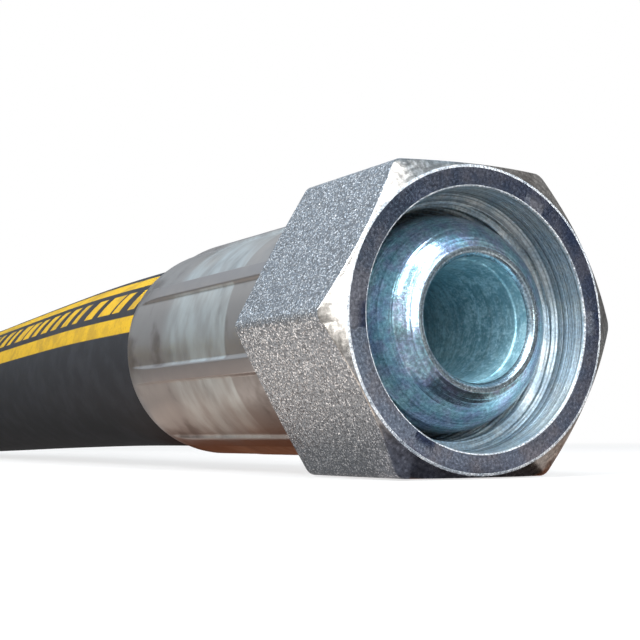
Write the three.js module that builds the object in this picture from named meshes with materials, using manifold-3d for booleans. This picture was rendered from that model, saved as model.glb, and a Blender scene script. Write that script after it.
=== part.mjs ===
// Crimped hydraulic hose assembly, 3/4 inch bore, two wire braids.
// A stiff rubber hose lies on the floor in a hairpin. Each end carries a ball-nose stem,
// a crimped ferrule and a loose hexagonal swivel nut that turns on the stem.
// Millimetres, +Z up. The origin is the centre of the near nut's bottom flat, on the floor,
// and +X points out of the nuts' mouths.
import * as THREE from 'three';
import { mergeVertices } from 'three/addons/utils/BufferGeometryUtils.js';
import Module from 'manifold-3d';

const wasm = await Module();
wasm.setup();

// ---- Driving dimensions -------------------------------------------------------------------

// Swivel nut, M30 x 2, made from forged hexagon
const nutSides = 6;
const acrossFlats = 36;
const nutLength = 22.5;
const threadMajorRadius = 15;
const threadPitch = 2;
const mouthCountersink = 0.3;          // how far the mouth's rim opens past the thread
const mouthDepth = 5;                  // plain, unthreaded mouth of the nut
const faceRingLoss = 0.31;             // flat face circle, inside half the spanner size
const chamferAngle = 31;               // degrees, on the six front corners
const rearCornerSetback = 0.6;
const nutLandLength = 3.4;             // rear bore that runs on the stem's neck

// Stem with its ball nose
const noseRecess = 0.2;                // lip of the nose, behind the nut's face
const noseBallRadius = 13;
const noseArcRadius = 9;
const noseArcEnd = 125;                // degrees from the axis, where the ball runs into the neck
const lipRadius = 8.4;
const noseBoreRadius = 7.3;
const lipChamferWidth = 0.5;
const lipChamferDepth = 0.8;
const stemBoreRadius = 6.6;
const boreStepDepth = 2.6;
const neckRadius = 10;
const grooveDepth = 0.8;
const stopCollarLength = 2;
const tailLength = 35.5;
const barbCount = 5;
const barbDepth = 0.55;

// Ferrule, crimped by eight jaws
const ferruleRimWall = 0.82;           // round the cover's end, between the ribs that the jaws leave
const ferruleLength = 45.6;
const ferruleLip = 3.4;                // front lip that is pressed into the stem's groove
const ferruleFrontChamfer = 0.8;
const ferruleRearRound = 10;
const ferruleRearDrop = 0.45;
const coverSeatDepth = 6.8;            // rear recess that takes the end of the cover
const ribCount = 8;
const ribHeight = 0.35;
const ribHalfAngle = 4.3;              // degrees
const ribFlank = 1;                    // degrees on each side of a rib
const ribPhase = 15;                   // degrees from +Y, seen from the mouth's side
const toothCount = 5;
const toothDepth = 0.6;
const toothHalfWidth = 0.2;            // share of the teeth's pitch

// Hose: inner tube, two wire braids with a rubber layer between them, and the cover
const hoseBoreRadius = 9.5;
const innerTubeWall = 1.7;
const braidWall = 0.6;
const interlayerWall = 0.4;
const coverWall = 1.13;

// Clearances
const nutPlay = 1.8;                   // nut's back to the ferrule's front
const runningGap = 0.4;                // neck to the nut's rear bore
const seatGap = 0.3;                   // between pieces that touch on the real hose
const layerGap = 0.2;                  // between the layers of the hose
const floorGap = 0.05;                 // under the hose where it rests
const overcut = 1;                     // how far a bore's cutter runs past the faces

// Facets
const roundSegments = 28;
const hoseSides = 12;
const hoseSteps = 24;

// Hairpin in which the hose lies
const hairpinReach = 300;              // from the near ferrule's rear rim to about the bend's outside
const hairpinWidth = 275;              // between the axes of the two fittings

// Route of the free hose, from the rear rim of the near ferrule to that of the far one.
// Each point is a share of the hairpin's reach and of its width, and the share of the
// fittings' height above the resting hose that is left there.
const route = [
  [0, 0, 1], [0.1, -0.0018, 0.96], [0.2, -0.0073, 0.84], [0.3167, -0.0145, 0.65],
  [0.4333, -0.02, 0.44], [0.55, -0.0127, 0.23], [0.6633, 0.0164, 0.07], [0.7683, 0.0691, 0],
  [0.86, 0.1473, 0], [0.9317, 0.2473, 0], [0.9783, 0.3636, 0], [0.9967, 0.5073, 0],
  [0.9783, 0.6509, 0], [0.9317, 0.7673, 0], [0.86, 0.8673, 0], [0.7683, 0.9418, 0],
  [0.66, 0.9927, 0.07], [0.5433, 1.0164, 0.23], [0.4267, 1.02, 0.44], [0.3083, 1.0145, 0.65],
  [0.19, 1.0055, 0.84], [0.0867, 1.0007, 0.96], [-1 / 60, 1, 1],
];

// ---- Derived sizes ------------------------------------------------------------------------

const threadDepth = 0.55 * threadPitch;
const threadMinorRadius = threadMajorRadius - threadDepth;
const mouthRadius = threadMajorRadius + mouthCountersink;
const faceRingRadius = acrossFlats / 2 - faceRingLoss;
const cornerRadius = acrossFlats / 2 / Math.cos(Math.PI / nutSides);
const nutBoreRadius = neckRadius + runningGap;
const grooveRadius = neckRadius - grooveDepth;

const braid1Inner = hoseBoreRadius + innerTubeWall + layerGap;
const interlayerInner = braid1Inner + braidWall + layerGap;
const braid2Inner = interlayerInner + interlayerWall + layerGap;
const coverInner = braid2Inner + braidWall + layerGap;
const hoseRadius = coverInner + coverWall;
const ferruleBoreRadius = braid2Inner + braidWall + seatGap;
const coverSeatRadius = hoseRadius + seatGap;
const ferruleRadius = coverSeatRadius + ferruleRimWall;
const boreFlatRadius = hoseBoreRadius * Math.cos(Math.PI / hoseSides);
const tailRadius = boreFlatRadius - seatGap;

// Places along a fitting, from its nut's face at x = 0 towards the hose at -x
const ferruleFront = -(nutLength + nutPlay);
const ferruleRear = ferruleFront - ferruleLength;
const grooveFront = ferruleFront + seatGap;
const grooveRear = ferruleFront - ferruleLip - seatGap;
const hoseEnd = grooveRear - stopCollarLength - seatGap;
const tailEnd = grooveRear - stopCollarLength - tailLength;
const insertion = hoseEnd - ferruleRear;

// Places in the part's own frame
const axisHeight = acrossFlats / 2;
const restHeight = hoseRadius + floorGap;
const nutFace = nutLength / 2;
const nearRim = new THREE.Vector3(nutFace + ferruleRear, 0, axisHeight);

// ---- Finishes -----------------------------------------------------------------------------

/** A plain finish of one colour, roughness and metalness. */
function finish(color, roughness, metalness) {
  return new THREE.MeshStandardMaterial({ color, roughness, metalness });
}

const zincNut = () => finish(0x9fa5aa, 0.45, 0.9);
const zincStem = () => finish(0x9fb3c4, 0.25, 0.95);
const zincFerrule = () => finish(0xa6a4a3, 0.4, 0.85);
const brassedWire = () => finish(0xb0a070, 0.4, 0.9);
const blackRubber = () => finish(0x26282c, 0.75, 0);

// ---- Solids -------------------------------------------------------------------------------

/** Turns a closed geometry into a solid whose faces point outwards. */
function toSolid(geometry) {
  const bare = geometry.clone();
  bare.deleteAttribute('normal');
  bare.deleteAttribute('uv');
  const welded = mergeVertices(bare, 1e-4);
  const vertProperties = new Float32Array(welded.attributes.position.array);
  const triVerts = new Uint32Array(welded.index.array);
  if (signedVolume(vertProperties, triVerts) < 0) {
    for (let i = 0; i < triVerts.length; i += 3) {
      [triVerts[i + 1], triVerts[i + 2]] = [triVerts[i + 2], triVerts[i + 1]];
    }
  }
  return new wasm.Manifold(new wasm.Mesh({ numProp: 3, vertProperties, triVerts }));
}

/** Six times the volume that the triangles enclose, negative where they point inwards. */
function signedVolume(positions, triangles) {
  const corners = [new THREE.Vector3(), new THREE.Vector3(), new THREE.Vector3()];
  let total = 0;
  for (let i = 0; i < triangles.length; i += 3) {
    corners.forEach((corner, k) => corner.fromArray(positions, triangles[i + k] * 3));
    total += corners[0].dot(corners[1].cross(corners[2]));
  }
  return total;
}

/** A named mesh with its own material, from a solid. */
function toMesh(name, solid, material) {
  const { vertProperties, triVerts } = solid.getMesh();
  const geometry = new THREE.BufferGeometry();
  geometry.setAttribute('position', new THREE.BufferAttribute(vertProperties, 3));
  geometry.setIndex(new THREE.BufferAttribute(triVerts, 1));
  geometry.computeVertexNormals();
  const mesh = new THREE.Mesh(geometry, material);
  mesh.name = name;
  return mesh;
}

/** A solid of revolution about X. The profile's points are [x, radius] and close on themselves. */
function turned(profile) {
  const points = [...profile, profile[0]].map(([x, radius]) => new THREE.Vector2(radius, x));
  return toSolid(new THREE.LatheGeometry(points, roundSegments).rotateZ(-Math.PI / 2));
}

/** Points on an arc about [centreX, centreRadius], from one angle to another in degrees. */
function arcPoints(centreX, centreRadius, radius, fromAngle, toAngle, count) {
  return Array.from({ length: count }, (_, i) => {
    const angle = THREE.MathUtils.degToRad(fromAngle + ((toAngle - fromAngle) * i) / (count - 1));
    return [centreX + radius * Math.cos(angle), centreRadius + radius * Math.sin(angle)];
  });
}

/** A prism along X from a closed outline of [y, z] points, between two places on X. */
function prismAlongX(outline, fromX, toX) {
  const shape = new THREE.Shape(outline.map(([y, z]) => new THREE.Vector2(-z, y)));
  const geometry = new THREE.ExtrudeGeometry(shape, { depth: toX - fromX, bevelEnabled: false });
  return toSolid(geometry.rotateY(Math.PI / 2).translate(fromX, 0, 0));
}

/** A point on a circle about the fitting's axis, as [y, z], with the angle in degrees from +Y. */
function onCircle(radius, angle) {
  const radians = THREE.MathUtils.degToRad(angle);
  return [radius * Math.cos(radians), radius * Math.sin(radians)];
}

// ---- Swivel nut ---------------------------------------------------------------------------

/** Hexagon with two flats level, chamfered at the corners, bored for the thread and the neck. */
function swivelNut() {
  const corners = Array.from({ length: nutSides }, (_, i) => onCircle(cornerRadius, (i * 360) / nutSides));
  const chamferLength = (cornerRadius - faceRingRadius) * Math.tan(THREE.MathUtils.degToRad(chamferAngle));
  const envelope = turned([
    [0, 0], [0, faceRingRadius], [-chamferLength, cornerRadius],
    [-nutLength + rearCornerSetback, cornerRadius], [-nutLength, faceRingRadius], [-nutLength, 0],
  ]);
  const seatRear = -nutLength + nutLandLength;
  const bore = turned([
    [overcut, 0], [overcut, mouthRadius], [-mouthDepth, mouthRadius],
    [-mouthDepth - threadDepth, threadMinorRadius],
    [seatRear + threadMinorRadius - nutBoreRadius, threadMinorRadius],
    [seatRear, nutBoreRadius], [-nutLength - overcut, nutBoreRadius], [-nutLength - overcut, 0],
  ]);
  return prismAlongX(corners, -nutLength, 0).intersect(envelope).subtract(bore);
}

// ---- Stem ---------------------------------------------------------------------------------

/** Ball nose, neck, ferrule groove, stop collar and barbed tail, with the bore right through. */
function stem() {
  const arcCentreRadius = noseBallRadius - noseArcRadius;
  const lipAngle = THREE.MathUtils.radToDeg(Math.asin((lipRadius - arcCentreRadius) / noseArcRadius));
  const ballX = -noseRecess - noseArcRadius * Math.cos(THREE.MathUtils.degToRad(lipAngle));
  const nose = arcPoints(ballX, arcCentreRadius, noseArcRadius, lipAngle, noseArcEnd, 8);
  const [backX, backRadius] = nose[nose.length - 1];
  const barbStart = grooveRear - stopCollarLength;
  const barbPitch = tailLength / (barbCount + 1);
  const barbs = Array.from({ length: barbCount }, (_, i) => {
    const crest = barbStart - (i + 1) * barbPitch;
    return [[crest + seatGap, tailRadius - barbDepth], [crest, tailRadius]];
  }).flat();
  return turned([
    ...nose,
    [backX - (backRadius - neckRadius), neckRadius],
    [grooveFront, neckRadius], [grooveFront, grooveRadius],
    [grooveRear, grooveRadius], [grooveRear, neckRadius],
    [barbStart, neckRadius], [barbStart, tailRadius - barbDepth],
    ...barbs,
    [tailEnd, tailRadius - barbDepth], [tailEnd, stemBoreRadius],
    [-noseRecess - boreStepDepth - (noseBoreRadius - stemBoreRadius), stemBoreRadius],
    [-noseRecess - boreStepDepth, noseBoreRadius],
    [-noseRecess - lipChamferDepth, noseBoreRadius], [-noseRecess, noseBoreRadius + lipChamferWidth],
  ]);
}

// ---- Ferrule ------------------------------------------------------------------------------

/** Sleeve with a front lip, inner teeth, eight raised ribs and a rounded rear rim. */
function ferrule() {
  const pitch = 360 / ribCount;
  const ribFoot = ribHalfAngle + ribFlank;
  const valley = pitch - 2 * ribFoot;
  const valleyShares = [0, 1 / 3, 2 / 3, 1];
  const outline = Array.from({ length: ribCount }, (_, i) => {
    const middle = ribPhase + i * pitch;
    return [
      onCircle(ferruleRadius + ribHeight, middle - ribHalfAngle),
      onCircle(ferruleRadius + ribHeight, middle + ribHalfAngle),
      ...valleyShares.map((share) => onCircle(ferruleRadius, middle + ribFoot + valley * share)),
    ];
  }).flat();
  const ribTop = ferruleRadius + ribHeight;
  const rounding = [1 / 3, 2 / 3, 1].map((share) => [
    ferruleRear + ferruleRearRound * (1 - share), ribTop - (ferruleRearDrop + ribHeight) * share * share,
  ]);
  const envelope = turned([
    [ferruleFront, 0], [ferruleFront, ribTop - ferruleFrontChamfer],
    [ferruleFront - ferruleFrontChamfer, ribTop],
    [ferruleRear + ferruleRearRound, ribTop], ...rounding, [ferruleRear, 0],
  ]);
  const lipRear = ferruleFront - ferruleLip;
  const seatFront = ferruleRear + coverSeatDepth;
  const toothPitch = (lipRear - seatFront) / (toothCount + 1);
  const teeth = Array.from({ length: toothCount }, (_, i) => {
    const groove = lipRear - (i + 1) * toothPitch;
    return [
      [groove + toothPitch * toothHalfWidth, ferruleBoreRadius], [groove, ferruleBoreRadius + toothDepth],
      [groove - toothPitch * toothHalfWidth, ferruleBoreRadius],
    ];
  }).flat();
  const bore = turned([
    [ferruleFront + overcut, 0], [ferruleFront + overcut, grooveRadius + seatGap],
    [lipRear, grooveRadius + seatGap],
    [lipRear, ferruleBoreRadius], ...teeth, [seatFront, ferruleBoreRadius],
    [seatFront, coverSeatRadius], [ferruleRear - overcut, coverSeatRadius], [ferruleRear - overcut, 0],
  ]);
  return prismAlongX(outline, ferruleRear, ferruleFront).intersect(envelope).subtract(bore);
}

// ---- Hose ---------------------------------------------------------------------------------

/** The route's points in the part's frame, with the height that each share stands for. */
function routePoints() {
  return route.map(([reach, width, height]) => new THREE.Vector3(
    nearRim.x - hairpinReach * reach,
    nearRim.y - hairpinWidth * width,
    restHeight + (axisHeight - restHeight) * height,
  ));
}

/** Centreline of the whole hose: straight inside both ferrules, along the route between them. */
function centreline() {
  const points = routePoints();
  const inset = new THREE.Vector3(insertion, 0, 0);
  const half = inset.clone().multiplyScalar(0.5);
  const near = points[0];
  const far = points[points.length - 1];
  return new THREE.CatmullRomCurve3([
    near.clone().add(inset), near.clone().add(half), ...points, far.clone().add(half), far.clone().add(inset),
  ]);
}

/** A ring of the hose's section, as a shape with a hole. */
function ringShape(inner, outer) {
  const polygon = (radius) => Array.from({ length: hoseSides }, (_, i) => {
    const [x, y] = onCircle(radius, (i * 360) / hoseSides);
    return new THREE.Vector2(x, y);
  });
  const shape = new THREE.Shape(polygon(outer));
  shape.holes.push(new THREE.Path(polygon(inner)));
  return shape;
}

/** One layer of the hose, along the whole centreline. */
function hoseLayer(inner, wall) {
  const settings = { steps: hoseSteps, bevelEnabled: false, extrudePath: centreline() };
  return toSolid(new THREE.ExtrudeGeometry(ringShape(inner, inner + wall), settings));
}

/** The cover, cut back inside both ferrules so that they grip the outer braid. */
function hoseCover(farRim) {
  const cut = 2 * insertion;
  const block = new THREE.BoxGeometry(cut, acrossFlats, acrossFlats);
  const cutter = (rim) => toSolid(block.clone().translate(
    rim.x + coverSeatDepth - seatGap + cut / 2, rim.y, rim.z,
  ));
  return hoseLayer(coverInner, coverWall).subtract(cutter(nearRim)).subtract(cutter(farRim));
}

// ---- Assembly -----------------------------------------------------------------------------

/** Stem, ferrule and swivel nut of one end, in a group at its nut's face. */
function endFitting(prefix, rim) {
  const group = new THREE.Group();
  group.position.set(rim.x - ferruleRear, rim.y, rim.z);
  group.add(toMesh(`${prefix}_swivel_nut`, swivelNut(), zincNut()));
  group.add(toMesh(`${prefix}_stem`, stem(), zincStem()));
  group.add(toMesh(`${prefix}_ferrule`, ferrule(), zincFerrule()));
  return group;
}

const points = routePoints();
const farRim = points[points.length - 1];
const assembly = new THREE.Group();
assembly.add(endFitting('near', nearRim));
assembly.add(endFitting('far', farRim));
assembly.add(toMesh('inner_tube', hoseLayer(hoseBoreRadius, innerTubeWall), blackRubber()));
assembly.add(toMesh('inner_braid', hoseLayer(braid1Inner, braidWall), brassedWire()));
assembly.add(toMesh('braid_interlayer', hoseLayer(interlayerInner, interlayerWall), blackRubber()));
assembly.add(toMesh('outer_braid', hoseLayer(braid2Inner, braidWall), brassedWire()));
assembly.add(toMesh('hose_cover', hoseCover(farRim), blackRubber()));

export default assembly;
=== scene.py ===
"""Crimped hydraulic hose assembly: two swivel-nut fittings on a wire-braided hose in a hairpin.

Every piece is built in millimetres in its fitting's own place, with x = 0 at the nut's face and the
hose towards -x, and is then put in its place in the part's frame, in metres.
"""

from __future__ import annotations

import logging
import math
from collections.abc import Callable, Iterable, Sequence
from dataclasses import dataclass
from enum import Enum

import bmesh
import bpy
from mathutils import Matrix, Vector

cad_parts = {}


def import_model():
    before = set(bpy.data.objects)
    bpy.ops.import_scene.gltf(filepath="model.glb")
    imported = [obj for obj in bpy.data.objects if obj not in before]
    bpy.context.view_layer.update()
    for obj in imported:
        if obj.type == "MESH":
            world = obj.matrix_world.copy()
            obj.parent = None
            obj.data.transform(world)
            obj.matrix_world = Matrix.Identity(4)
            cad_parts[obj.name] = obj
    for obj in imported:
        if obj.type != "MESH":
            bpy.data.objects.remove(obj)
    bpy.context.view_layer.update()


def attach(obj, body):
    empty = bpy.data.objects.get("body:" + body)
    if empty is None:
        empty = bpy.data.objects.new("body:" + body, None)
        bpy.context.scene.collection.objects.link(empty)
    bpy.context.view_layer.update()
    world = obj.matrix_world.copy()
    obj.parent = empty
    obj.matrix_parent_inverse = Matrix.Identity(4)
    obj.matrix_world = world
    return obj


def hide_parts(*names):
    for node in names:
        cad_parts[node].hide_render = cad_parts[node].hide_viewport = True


log = logging.getLogger("hose_assembly")

Pair = tuple[float, float]
Triple = tuple[float, float, float]

MM = 0.001
TURN = 2 * math.pi
SECTORS = 8                            # equal parts in which a turned piece is spun
SAME = 0.01                            # mm, within which two places or radii count as one

# ---- Places in the part's frame, in metres --------------------------------------------------

NEAR_FACE = Vector((0.01125, 0.0, 0.018))
FAR_FACE = Vector((0.01625, -0.275, 0.018))

# Centreline of the free hose, from the near ferrule's rear rim to the far one's.
ROUTE = (
    (-0.05865, 0.0, 0.018), (-0.0887, 0.0005, 0.0179), (-0.1187, 0.002, 0.0175),
    (-0.1537, 0.004, 0.0169), (-0.1886, 0.0055, 0.0162), (-0.2237, 0.0035, 0.0155),
    (-0.2576, -0.0045, 0.015), (-0.2891, -0.019, 0.0148), (-0.3166, -0.0405, 0.0148),
    (-0.3382, -0.068, 0.0148), (-0.3521, -0.1, 0.0148), (-0.3577, -0.1395, 0.0148),
    (-0.3521, -0.179, 0.0148), (-0.3382, -0.211, 0.0148), (-0.3166, -0.2385, 0.0148),
    (-0.2891, -0.259, 0.0148), (-0.2566, -0.273, 0.015), (-0.2216, -0.2795, 0.0155),
    (-0.1867, -0.2805, 0.0162), (-0.1511, -0.279, 0.0169), (-0.1157, -0.2765, 0.0175),
    (-0.0847, -0.2752, 0.0179), (-0.05365, -0.275, 0.018),
)

# ---- Sizes along a fitting, in mm, that more than one piece shares ---------------------------

NUT_LENGTH = 22.5
FERRULE_FRONT = -24.3
FERRULE_REAR = -69.9
GROOVE_FRONT = -24.0
GROOVE_REAR = -28.0
GROOVE_RADIUS = 9.2                    # of the stem's groove, which the ferrule's lip grips
HOSE_END = -30.3
HOSE_RADIUS = 14.73
COVER_SEAT = 6.8                       # rear recess of the ferrule, where the cover ends
SEAT_GAP = 0.3                         # between pieces that touch on the real hose


class Region(Enum):
    """Kinds of surface on a metal piece, in the order of its material slots."""

    BODY = 0
    FACE = 1
    CHAMFER = 2
    INSIDE = 3
    EDGE = 4


# ---- Mesh helpers ----------------------------------------------------------------------------


def lathe(profile: Sequence[Pair], steps: int) -> bmesh.types.BMesh:
    """Spins a closed profile round X: one sector is spun, and its copies close the turn.

    Args:
        profile: points (x, radius) in mm, which close on themselves.
        steps: number of steps in the full turn, a multiple of SECTORS.

    Returns:
        A closed bmesh with its faces outwards.
    """
    bm = bmesh.new()
    verts = [bm.verts.new((x, radius, 0.0)) for x, radius in profile]
    edges = [bm.edges.new(pair) for pair in zip(verts, verts[1:] + verts[:1])]
    bmesh.ops.spin(bm, geom=verts + edges, axis=(1, 0, 0), cent=(0, 0, 0), angle=TURN / SECTORS,
                   steps=steps // SECTORS, use_merge=False, use_duplicate=False)
    sector = bm.verts[:] + bm.edges[:] + bm.faces[:]
    for i in range(1, SECTORS):
        copied = bmesh.ops.duplicate(bm, geom=sector)["geom"]
        bmesh.ops.rotate(bm, cent=(0, 0, 0), matrix=Matrix.Rotation(TURN * i / SECTORS, 3, "X"),
                         verts=[item for item in copied if isinstance(item, bmesh.types.BMVert)])
    bmesh.ops.remove_doubles(bm, verts=bm.verts, dist=1e-4)
    bmesh.ops.recalc_face_normals(bm, faces=bm.faces)
    return bm


def off_axis(place: Vector) -> float:
    """Distance of a place from the X axis."""
    return math.hypot(place.y, place.z)


def reshape(bm: bmesh.types.BMesh, rule: Callable[[float, float, float], Triple]) -> None:
    """Moves every vertex by a rule on its place along the axis, its radius and its angle.

    Args:
        bm: the mesh, about the X axis.
        rule: takes and gives (x, radius, angle), the angle in radians from +Y.
    """
    for vert in bm.verts:
        place = vert.co
        x, radius, angle = rule(place.x, off_axis(place), math.atan2(place.z, place.y))
        vert.co = (x, radius * math.cos(angle), radius * math.sin(angle))


def soften(bm: bmesh.types.BMesh, width: float, least: float, here: Callable[[Vector], bool]) -> None:
    """Rounds the sharp edges of one part of a piece.

    Args:
        bm: the mesh.
        width: width of the rounding in mm.
        least: least angle between an edge's faces, in degrees.
        here: whether an edge's middle lies in the part to round.
    """
    sharp = [
        edge for edge in bm.edges
        if len(edge.link_faces) == 2 and edge.calc_face_angle(0.0) > math.radians(least)
        and here((edge.verts[0].co + edge.verts[1].co) / 2)
    ]
    bmesh.ops.bevel(bm, geom=sharp, offset=width, offset_type="OFFSET", affect="EDGES", segments=2,
                    profile=0.5, material=-1, clamp_overlap=True, loop_slide=True)


def arc(centre: Pair, radius: float, start: float, end: float, count: int) -> list[Pair]:
    """Points (x, radius) on an arc of a profile, with its angles in degrees from +x."""
    angles = [math.radians(start + (end - start) * i / (count - 1)) for i in range(count)]
    return [(centre[0] + radius * math.cos(a), centre[1] + radius * math.sin(a)) for a in angles]


def run(start: float, end: float, step: float) -> list[float]:
    """Evenly spaced places from start to end, about one step apart."""
    count = max(1, round(abs(end - start) / step))
    return [start + (end - start) * i / count for i in range(count + 1)]


def smoothstep(value: float, low: float, high: float) -> float:
    """0 below low, 1 above high, and smooth between them."""
    share = min(1.0, max(0.0, (value - low) / (high - low)))
    return share * share * (3 - 2 * share)


def colour_regions(bm: bmesh.types.BMesh, choose: Callable[[Vector, Vector], Region]) -> None:
    """Gives every face the slot of its kind of surface."""
    for face in bm.faces:
        face.material_index = choose(face.calc_center_median(), face.normal).value


def to_mesh(bm: bmesh.types.BMesh, name: str, crease: float = 38.0) -> bpy.types.Mesh:
    """Turns a bmesh into a smooth-shaded mesh with its sharp edges marked, and frees it."""
    bm.normal_update()
    for edge in bm.edges:
        edge.smooth = edge.calc_face_angle(0.0) < math.radians(crease)
    for face in bm.faces:
        face.smooth = True
    mesh = bpy.data.meshes.new(name)
    bm.to_mesh(mesh)
    bm.free()
    return mesh


def add_piece(name: str, mesh: bpy.types.Mesh) -> bpy.types.Object:
    """Links a mesh to the scene as a piece at the origin, with its normals weighted by area."""
    piece = bpy.data.objects.new(name, mesh)
    bpy.context.scene.collection.objects.link(piece)
    weights = piece.modifiers.new("face_weights", "WEIGHTED_NORMAL")
    weights.keep_sharp = True
    return piece


def place_at(mesh: bpy.types.Mesh, name: str, face: Vector) -> bpy.types.Object:
    """A copy of a fitting's mesh, scaled to metres and moved to its end of the hose."""
    placed = mesh.copy()
    placed.transform(Matrix.Translation(face) @ Matrix.Diagonal((MM, MM, MM, 1.0)))
    placed.name = name
    return add_piece(name, placed)


# ---- Material helpers ------------------------------------------------------------------------


def linear(colour: str) -> tuple[float, float, float, float]:
    """Linear RGBA of an sRGB hex value such as '#9fa5aa'."""
    channels = (int(colour[i:i + 2], 16) / 255 for i in (1, 3, 5))
    return (*(c / 12.92 if c <= 0.04045 else ((c + 0.055) / 1.055) ** 2.4 for c in channels), 1.0)


def add_node(tree: bpy.types.NodeTree, kind: str, settings: dict | None = None,
             inputs: dict | None = None) -> bpy.types.Node:
    """Adds a node to a tree.

    Args:
        tree: the tree of a material or world.
        kind: the node's type name, without its "ShaderNode".
        settings: the node's properties.
        inputs: a value or another node's output for each named or numbered input.

    Returns:
        The new node.
    """
    node = tree.nodes.new("ShaderNode" + kind)
    for name, value in (settings or {}).items():
        setattr(node, name, value)
    for name, value in (inputs or {}).items():
        if isinstance(value, bpy.types.NodeSocket):
            tree.links.new(value, node.inputs[name])
        else:
            node.inputs[name].default_value = value
    return node


SMOOTH = {"interpolation_type": "SMOOTHSTEP"}      # settings of a MapRange with soft ends
COLOURS = {"data_type": "RGBA"}                    # settings of a Mix of two colours


def new_tree(name: str) -> tuple[bpy.types.Material, bpy.types.NodeTree]:
    """A new material and its empty node tree."""
    material = bpy.data.materials.new(name)
    material.use_nodes = True
    material.node_tree.nodes.clear()
    return material, material.node_tree


class Turned:
    """A material's tree with the coordinates of a turned piece: its x and its radius."""

    def __init__(self, name: str, face: Vector) -> None:
        """Starts the tree, with the pattern centred on the fitting's axis.

        Args:
            name: the material's name.
            face: centre of the nut's face in metres.
        """
        self.material, self.tree = new_tree(name)
        source = self.add("TexCoord")
        mapping = self.add("Mapping", {}, {"Vector": source.outputs["Object"], "Location": -face})
        self.place = mapping.outputs[0]
        axes = self.add("SeparateXYZ", {}, {0: self.place})
        across = self.add("VectorMath", {"operation": "MULTIPLY"}, {0: self.place, 1: (0, 1, 1)})
        self.x = axes.outputs["X"]
        length = self.add("VectorMath", {"operation": "LENGTH"}, {0: across.outputs[0]})
        self.radius = length.outputs["Value"]

    def add(self, kind: str, settings: dict | None = None, inputs: dict | None = None) -> bpy.types.Node:
        """Adds a node to this material's tree."""
        return add_node(self.tree, kind, settings, inputs)

    def finish(self, shader: dict) -> bpy.types.Material:
        """Adds the surface shader with its inputs, and returns the material."""
        surface = self.add("BsdfPrincipled", {}, shader)
        self.add("OutputMaterial", {}, {"Surface": surface.outputs[0]})
        return self.material


@dataclass(frozen=True)
class BlastedZinc:
    """Zinc plate on forged steel that was grit-blasted.

    Each grain of grit leaves a facet that leans its own way, so the eye sees an even grey with a
    fine sparkle, and no reflections. The sparkle comes partly from these leaning facets and partly
    from a painted glint, a near-white colour on a few of them.
    """

    body: str = "#8c9298"
    pit: str = "#5c6167"
    # painted glint: a near-white colour that stands in for the highlight on the facets that catch the
    # light
    painted_glint: str = "#e2e5e8"
    grain: float = 0.14                # mm across one blasted facet
    tilt: float = 0.7                  # how far the facets lean
    dim: float = 0.78                  # share of the facets that get no painted glint
    bright: float = 0.92               # share above which the painted glint is full
    metallic: float = 0.8
    roughness: float = 0.42

    def dress(self, name: str, face: Vector) -> bpy.types.Material:
        """The material, centred on a fitting."""
        made = Turned(name, face)
        grain = made.add("TexVoronoi", {"feature": "F1"}, {
            "Vector": made.place, "Scale": 1 / (self.grain * MM)})
        draws = made.add("SeparateColor", {}, {0: grain.outputs["Color"]})
        tone = made.add("Mix", COLOURS, {
            0: draws.outputs[0], 6: linear(self.pit), 7: linear(self.body)})
        # painted glint: facets above dim get the near-white colour, fully above bright
        painted_glint_mask = made.add("MapRange", SMOOTH, {
            "Value": draws.outputs[1], "From Min": self.dim, "From Max": self.bright})
        colour = made.add("Mix", COLOURS, {
            0: painted_glint_mask.outputs[0], 6: tone.outputs[2], 7: linear(self.painted_glint)})
        centred = made.add("VectorMath", {"operation": "SUBTRACT"}, {
            0: grain.outputs["Color"], 1: (0.5, 0.5, 0.5)})
        lean = made.add("VectorMath", {"operation": "SCALE"}, {0: centred.outputs[0], "Scale": self.tilt})
        normal = made.add("NewGeometry").outputs["Normal"]
        tilted = made.add("VectorMath", {"operation": "ADD"}, {0: normal, 1: lean.outputs[0]})
        facet = made.add("VectorMath", {"operation": "NORMALIZE"}, {0: tilted.outputs[0]})
        return made.finish({
            "Base Color": colour.outputs[2], "Metallic": self.metallic, "Roughness": self.roughness,
            "Normal": facet.outputs[0]})


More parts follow.
